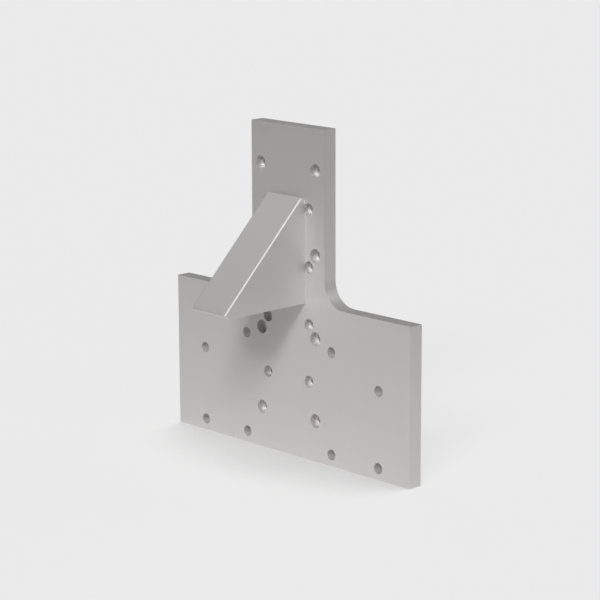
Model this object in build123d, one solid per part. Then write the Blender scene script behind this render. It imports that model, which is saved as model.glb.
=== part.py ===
# Cross connector plate.
#
# A flat plate cut as an upside-down T, with a solid wedge standing out of the front of
# its upright. It is one piece of aluminium. It crosses an upright beam with a level one:
# the bolt rectangle that runs up the upright is drilled again in the arms, turned a
# quarter turn.
#
# Millimetres. +Z runs up the upright and the wedge points along -Y. The origin is on
# the back face, in the middle of the plate, where the upright's bolt rows are centred.

from build123d import *

import os
from math import sqrt

# Plate
plate_width = 260.0
plate_height = 260.0
plate_thickness = 12.0
upright_width = 80.0
arm_height = 124.0
inner_corner_radius = 20.0

# Large bolt holes, in a column along each side of the upright, with a recess for each head
large_hole = 6.6
large_recess = 11.0
large_recess_depth = 6.0
large_edge_distance = 10.0
large_pitch = 65.0
large_rows = 4

# Medium bolt holes, in a column inside each large one, with a recess for each head
medium_hole = 5.5
medium_recess = 9.5
medium_recess_depth = 5.0
medium_step_in = 7.0
medium_pitch = 45.0
medium_rows = 4

# Small holes in the arms, plain, in a wide rectangle and a narrow one
small_hole = 8.5
small_edge_distance = 9.0
narrow_columns = 95.0
narrow_rows_apart = 81.0

# Wedge, with legs of one length, so that its slope lies at 45 degrees. Its sides stand in
# from the medium columns by the step.
wedge_step_in = 4.0
wedge_leg = 86.0
wedge_end_face = 4.5
wedge_edge_radius = 1.5

# The wedge stands on the arms' top edge, between the shanks of the medium bolts
front = -plate_thickness
bottom = -plate_height / 2
top = plate_height / 2
arm_top = bottom + arm_height
large_columns = upright_width - 2 * large_edge_distance
medium_columns = large_columns - 2 * medium_step_in
wedge_width = medium_columns - 2 * wedge_step_in

# The wide rectangle is the outer one of the upright, turned a quarter turn
wide_columns = large_pitch * (large_rows - 1)
wide_rows_apart = large_columns


def outline():
    """The upside-down T, seen from the front, with a round in each inner corner."""
    half_width = plate_width / 2
    half_upright = upright_width / 2
    corners = [
        (-half_width, bottom),
        (half_width, bottom),
        (half_width, arm_top),
        (half_upright, arm_top),
        (half_upright, top),
        (-half_upright, top),
        (-half_upright, arm_top),
        (-half_width, arm_top),
    ]
    with BuildSketch(Plane.XZ) as sketch:
        with BuildLine():
            Polyline(corners, close=True)
        make_face()
        inner_corners = sketch.vertices().group_by(Axis.Y)[1].sort_by(Axis.X)[1:3]
        fillet(inner_corners, inner_corner_radius)
    return sketch.sketch


def holes(diameter, columns, rows_apart, rows, middle):
    """Two columns of holes, evenly spaced about a middle height."""
    with BuildSketch(Plane.XZ) as sketch:
        with Locations((0, middle)):
            with GridLocations(columns, rows_apart, 2, rows):
                Circle(diameter / 2)
    return sketch.sketch


def arm_holes(columns, rows_apart):
    """A rectangle of small holes whose lower row is near the bottom edge."""
    lower_row = bottom + small_edge_distance
    return holes(small_hole, columns, rows_apart, 2, lower_row + rows_apart / 2)


def stepped_holes(hole, recess, recess_depth, columns, pitch, rows):
    """Bolt holes up the upright: the shank goes right through, and the head goes in from the front."""
    recess_floor = Location((0, front + recess_depth, 0))
    with BuildPart() as cutter:
        extrude(holes(hole, columns, pitch, rows, 0), amount=plate_thickness)
        extrude(holes(recess, columns, pitch, rows, 0).moved(recess_floor), amount=recess_depth)
    return cutter.part


def plate():
    """The T with its four sets of holes."""
    with BuildPart() as body:
        extrude(outline(), amount=plate_thickness)
        add(stepped_holes(large_hole, large_recess, large_recess_depth, large_columns, large_pitch, large_rows),
            mode=Mode.SUBTRACT)
        add(stepped_holes(medium_hole, medium_recess, medium_recess_depth, medium_columns, medium_pitch,
                          medium_rows), mode=Mode.SUBTRACT)
        extrude(arm_holes(wide_columns, wide_rows_apart), amount=plate_thickness, mode=Mode.SUBTRACT)
        extrude(arm_holes(narrow_columns, narrow_rows_apart), amount=plate_thickness, mode=Mode.SUBTRACT)
    return body.part


def wedge():
    """A right-angled block on the plate's front, with its two thin ends cut off square.

    The cuts are square to the slope, so the upper one turns back in towards the plate.
    The edges of the slope and of the cuts are rounded. Those of the level underside,
    and those that meet the plate, are left sharp.
    """
    cut = wedge_end_face / sqrt(2)
    largest_radius = 0.45 * wedge_end_face
    slope_top = arm_top + wedge_leg
    slope_foot = front - wedge_leg
    corners = [
        (front, arm_top),
        (front, slope_top - 2 * cut),
        (front - cut, slope_top - cut),
        (slope_foot + cut, arm_top + cut),
        (slope_foot + 2 * cut, arm_top),
    ]
    with BuildPart() as block:
        with BuildSketch(Plane.YZ):
            with BuildLine():
                Polyline(corners, close=True)
            make_face()
        extrude(amount=wedge_width / 2, both=True)
        back_and_underside = [block.faces().sort_by(Axis.Y)[-1], block.faces().sort_by(Axis.Z)[0]]
        sharp_edges = [edge for face in back_and_underside for edge in face.edges()]
        round_edges = [edge for edge in block.edges() if edge not in sharp_edges]
        fillet(round_edges, min(wedge_edge_radius, largest_radius))
    return block.part


os.makedirs("parts", exist_ok=True)
connector_plate = plate() + wedge()
connector_plate.label = "connector_plate"
export_step(connector_plate, "parts/connector_plate.step")
print("connector_plate", round(connector_plate.volume / 1000, 2), "cm3")
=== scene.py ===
# Cross connector plate, dressed and lit.
#
# One aluminium part: a flat plate cut as an upside-down T, with a wedge on the front of
# its upright. The plate stands on a plain pale floor, on its lower edge, seen from its
# front right and from a little above. Lengths are in metres, and angles in degrees.

from math import cos, radians, sin

import bpy
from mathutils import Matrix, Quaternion, Vector


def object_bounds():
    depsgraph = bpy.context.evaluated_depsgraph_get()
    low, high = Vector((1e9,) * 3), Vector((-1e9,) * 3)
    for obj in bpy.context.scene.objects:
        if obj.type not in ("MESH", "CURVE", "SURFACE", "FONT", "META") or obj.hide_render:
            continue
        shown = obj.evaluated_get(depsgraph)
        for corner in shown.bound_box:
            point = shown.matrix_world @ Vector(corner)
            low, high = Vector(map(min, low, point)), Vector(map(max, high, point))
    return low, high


# Camera
camera_azimuth = 46.171
camera_elevation = 12.683
camera_roll = -0.224
camera_distance = 1.6871
camera_aim = (0.00404, -0.00309, -0.00721)
camera_lens_mm = 130.766

# Floor, long enough to fill the picture to its top edge. Its own glow lifts it to a pale grey
# without more light on the part. The metal mirrors a lit floor with a faint glow. The camera
# sees more glow and less light.
floor_side = 60.0
floor_grey = 0.82
mirrored_glow = 0.08
seen_grey = 0.15
seen_glow = 0.715

# Painted shade on the floor in front of the part: the glow the camera sees is dimmed where an
# occlusion test, leaning toward the back, finds the part close by. The painted shade is full
# where only the covered share of that leaning view is open, and gone at the open share.
painted_shade_side = (180, 45)
painted_shade_reach = 0.13
painted_shade_depth = 0.33
covered_share = 0.25
open_share = 0.65

# Dim screen round the part, low on the floor and seen only in the metal
screen_radius = 0.7
screen_height = 0.45
screen_sides = 96
screen_grey = 0.05

# Soft lamps, each a round patch of sky with its azimuth, elevation, width and strength.
# The three key lamps stand in a row, which leans as the edge of the wedge's shadow does.
low_key = (24, 31, 12, 0.85)
middle_key = (30, 36, 20, 0.9)
high_key = (38, 42, 12, 0.8)
front_right_lamp = (60, 20, 30, 0.24)
right_lamp = (95, 30, 30, 0.3)
right_back_lamp = (120, 40, 40, 0.08)
back_lamp = (162, 20, 36, 0.5)
left_lamp = (260, 45, 40, 0.24)
key_tint = (1.0, 0.985, 0.97)
fill_tint = (0.956, 0.978, 1.0)

# Sky, dim at the horizon and brighter overhead
sky_low = 0.045
sky_high = 0.1

# Blasted aluminium, with a close grain, and wide clouds that vary its gloss and tone a little
aluminium_colour = (0.668, 0.66, 0.653)
aluminium_metallic = 0.6
aluminium_roughness = 0.49
grain_size = 0.00035
grain_depth = 0.00002
grain_detail = 3.0
grain_strength = 0.4
clouds_per_metre = 30.0
cloud_detail = 4.0
gloss_change = 0.03
tone_change = 0.015


def direction(azimuth, elevation):
    """Points from the part to that azimuth and elevation. Azimuth 0 is the plate's front."""
    turn, lift = radians(azimuth), radians(elevation)
    return Vector((sin(turn) * cos(lift), -cos(turn) * cos(lift), sin(lift)))


def add_camera():
    back = direction(camera_azimuth, camera_elevation)
    data = bpy.data.cameras.new("camera")
    data.lens = camera_lens_mm
    camera = bpy.data.objects.new("camera", data)
    camera.location = Vector(camera_aim) + back * camera_distance
    camera.rotation_mode = "QUATERNION"
    level = (-back).to_track_quat("-Z", "Y")
    camera.rotation_quaternion = level @ Quaternion((0, 0, 1), radians(camera_roll))
    bpy.context.scene.collection.objects.link(camera)
    bpy.context.scene.camera = camera


def add_soft_lamp(name, lamp, tint):
    """A far lamp that fills a round patch of sky, so that its shadows are soft."""
    azimuth, elevation, width, strength = lamp
    data = bpy.data.lights.new(name, "SUN")
    data.angle = radians(width)
    data.energy = strength
    data.color = tint
    holder = bpy.data.objects.new(name, data)
    holder.rotation_mode = "QUATERNION"
    holder.rotation_quaternion = direction(azimuth, elevation).to_track_quat("Z", "Y")
    bpy.context.scene.collection.objects.link(holder)


def add_sky():
    world = bpy.data.worlds.new("sky")
    world.use_nodes = True
    nodes, links = world.node_tree.nodes, world.node_tree.links
    toward = nodes.new("ShaderNodeTexCoord")
    split = nodes.new("ShaderNodeSeparateXYZ")
    links.new(toward.outputs["Generated"], split.inputs["Vector"])
    rise = nodes.new("ShaderNodeMapRange")
    rise.inputs["To Min"].default_value = sky_low
    rise.inputs["To Max"].default_value = sky_high
    links.new(split.outputs["Z"], rise.inputs["Value"])
    links.new(rise.outputs["Result"], nodes["Background"].inputs["Strength"])
    nodes["Background"].inputs["Color"].default_value = fill_tint + (1.0,)
    bpy.context.scene.world = world


def add_floor(height):
    bpy.ops.object.select_all(action="DESELECT")
    bpy.ops.mesh.primitive_plane_add(size=floor_side, location=(0, 0, height))
    floor = bpy.context.object
    floor.name = "floor"
    bpy.ops.object.transform_apply(location=True, rotation=False, scale=False)
    floor.data.materials.append(pale_floor())


def pale_paint(paint, grey):
    """A flat pale paint that can also glow."""
    shader = paint.node_tree.nodes.new("ShaderNodeBsdfPrincipled")
    shader.inputs["Base Color"].default_value = (grey, grey, grey, 1.0)
    shader.inputs["Roughness"].default_value = 1.0
    shader.inputs["Specular IOR Level"].default_value = 0.0
    shader.inputs["Emission Color"].default_value = (1.0, 1.0, 1.0, 1.0)
    return shader


def pale_floor():
    """Two paints in one: a lit one for the part, and one that only the camera sees, with a
    painted shade.
    """
    paint = bpy.data.materials.new("pale_floor")
    paint.use_nodes = True
    nodes, links = paint.node_tree.nodes, paint.node_tree.links
    nodes.remove(nodes["Principled BSDF"])
    ray = nodes.new("ShaderNodeLightPath")

    lit = pale_paint(paint, floor_grey)
    mirrored = nodes.new("ShaderNodeMath")
    mirrored.operation = "MAXIMUM"
    links.new(ray.outputs["Is Glossy Ray"], mirrored.inputs[0])
    links.new(ray.outputs["Is Transmission Ray"], mirrored.inputs[1])
    glow = nodes.new("ShaderNodeMath")
    glow.operation = "MULTIPLY"
    links.new(mirrored.outputs["Value"], glow.inputs[0])
    glow.inputs[1].default_value = mirrored_glow
    links.new(glow.outputs["Value"], lit.inputs["Emission Strength"])

    seen = pale_paint(paint, seen_grey)
    # Painted shade: the camera's glow is dimmed near the part by ambient occlusion, not by a
    # lamp's shadow.
    painted_shade_ao = nodes.new("ShaderNodeAmbientOcclusion")
    painted_shade_ao.inputs["Distance"].default_value = painted_shade_reach
    lean = nodes.new("ShaderNodeCombineXYZ")
    for axis, length in zip("XYZ", direction(*painted_shade_side)):
        lean.inputs[axis].default_value = length
    links.new(lean.outputs["Vector"], painted_shade_ao.inputs["Normal"])
    painted_shade_glow = nodes.new("ShaderNodeMapRange")
    painted_shade_glow.inputs["From Min"].default_value = covered_share
    painted_shade_glow.inputs["From Max"].default_value = open_share
    painted_shade_glow.inputs["To Min"].default_value = seen_glow * (1 - painted_shade_depth)
    painted_shade_glow.inputs["To Max"].default_value = seen_glow
    links.new(painted_shade_ao.outputs["AO"], painted_shade_glow.inputs["Value"])
    links.new(painted_shade_glow.outputs["Result"], seen.inputs["Emission Strength"])

    either = nodes.new("ShaderNodeMixShader")
    links.new(ray.outputs["Is Camera Ray"], either.inputs["Fac"])
    links.new(lit.outputs["BSDF"], either.inputs[1])
    links.new(seen.outputs["BSDF"], either.inputs[2])
    links.new(either.outputs["Shader"], nodes["Material Output"].inputs["Surface"])
    return paint


def add_dim_screen(height):
    """A low round screen, which darkens what the upright faces reflect, as a dim room does."""
    bpy.ops.object.select_all(action="DESELECT")
    middle = height + screen_height / 2
    bpy.ops.mesh.primitive_cylinder_add(vertices=screen_sides, radius=screen_radius,
                                        depth=screen_height, end_fill_type="NOTHING",
                                        location=(0, 0, middle))
    screen = bpy.context.object
    screen.name = "dim_screen"
    bpy.ops.object.transform_apply(location=True, rotation=False, scale=False)
    cloth = bpy.data.materials.new("dim_cloth")
    cloth.use_nodes = True
    shader = cloth.node_tree.nodes["Principled BSDF"]
    shader.inputs["Base Color"].default_value = (screen_grey, screen_grey, screen_grey, 1.0)
    shader.inputs["Roughness"].default_value = 1.0
    shader.inputs["Specular IOR Level"].default_value = 0.0
    screen.data.materials.append(cloth)
    screen.visible_camera = False
    screen.visible_diffuse = False
    screen.visible_shadow = False


def blasted_aluminium():
    """Finely blasted metal: an even grey, with a close grain and faint clouds."""
    metal = bpy.data.materials.new("blasted_aluminium")
    metal.use_nodes = True
    nodes, links = metal.node_tree.nodes, metal.node_tree.links
    shader = nodes["Principled BSDF"]
    shader.inputs["Metallic"].default_value = aluminium_metallic
    place = nodes.new("ShaderNodeTexCoord")

    grain = nodes.new("ShaderNodeTexNoise")
    grain.inputs["Scale"].default_value = 1 / grain_size
    grain.inputs["Detail"].default_value = grain_detail
    links.new(place.outputs["Object"], grain.inputs["Vector"])
    bump = nodes.new("ShaderNodeBump")
    bump.inputs["Strength"].default_value = grain_strength
    bump.inputs["Distance"].default_value = grain_depth
    links.new(grain.outputs["Fac"], bump.inputs["Height"])
    links.new(bump.outputs["Normal"], shader.inputs["Normal"])

    cloud = nodes.new("ShaderNodeTexNoise")
    cloud.inputs["Scale"].default_value = clouds_per_metre
    cloud.inputs["Detail"].default_value = cloud_detail
    links.new(place.outputs["Object"], cloud.inputs["Vector"])
    gloss = nodes.new("ShaderNodeMapRange")
    gloss.inputs["To Min"].default_value = aluminium_roughness - gloss_change
    gloss.inputs["To Max"].default_value = aluminium_roughness + gloss_change
    links.new(cloud.outputs["Fac"], gloss.inputs["Value"])
    links.new(gloss.outputs["Result"], shader.inputs["Roughness"])
    tone = nodes.new("ShaderNodeMixRGB")
    darker = [(1 - tone_change) * share for share in aluminium_colour]
    lighter = [(1 + tone_change) * share for share in aluminium_colour]
    tone.inputs["Color1"].default_value = darker + [1.0]
    tone.inputs["Color2"].default_value = lighter + [1.0]
    links.new(cloud.outputs["Fac"], tone.inputs["Fac"])
    links.new(tone.outputs["Color"], shader.inputs["Base Color"])
    return metal


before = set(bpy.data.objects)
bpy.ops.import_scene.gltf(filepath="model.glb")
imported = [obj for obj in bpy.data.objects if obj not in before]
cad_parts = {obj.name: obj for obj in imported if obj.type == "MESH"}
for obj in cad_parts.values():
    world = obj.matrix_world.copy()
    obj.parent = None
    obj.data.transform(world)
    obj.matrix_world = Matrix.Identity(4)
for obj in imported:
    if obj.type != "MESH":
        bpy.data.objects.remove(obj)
cad_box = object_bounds()
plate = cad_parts["connector_plate"]
plate.material_slots[0].material = blasted_aluminium()
add_floor(cad_box[0].z)
add_dim_screen(cad_box[0].z)
add_camera()
add_sky()
add_soft_lamp("low_key", low_key, key_tint)
add_soft_lamp("middle_key", middle_key, key_tint)
add_soft_lamp("high_key", high_key, key_tint)
add_soft_lamp("front_right_lamp", front_right_lamp, key_tint)
add_soft_lamp("right_lamp", right_lamp, fill_tint)
add_soft_lamp("right_back_lamp", right_back_lamp, fill_tint)
add_soft_lamp("back_lamp", back_lamp, fill_tint)
add_soft_lamp("left_lamp", left_lamp, fill_tint)
bpy.context.scene.view_settings.view_transform = "Standard"
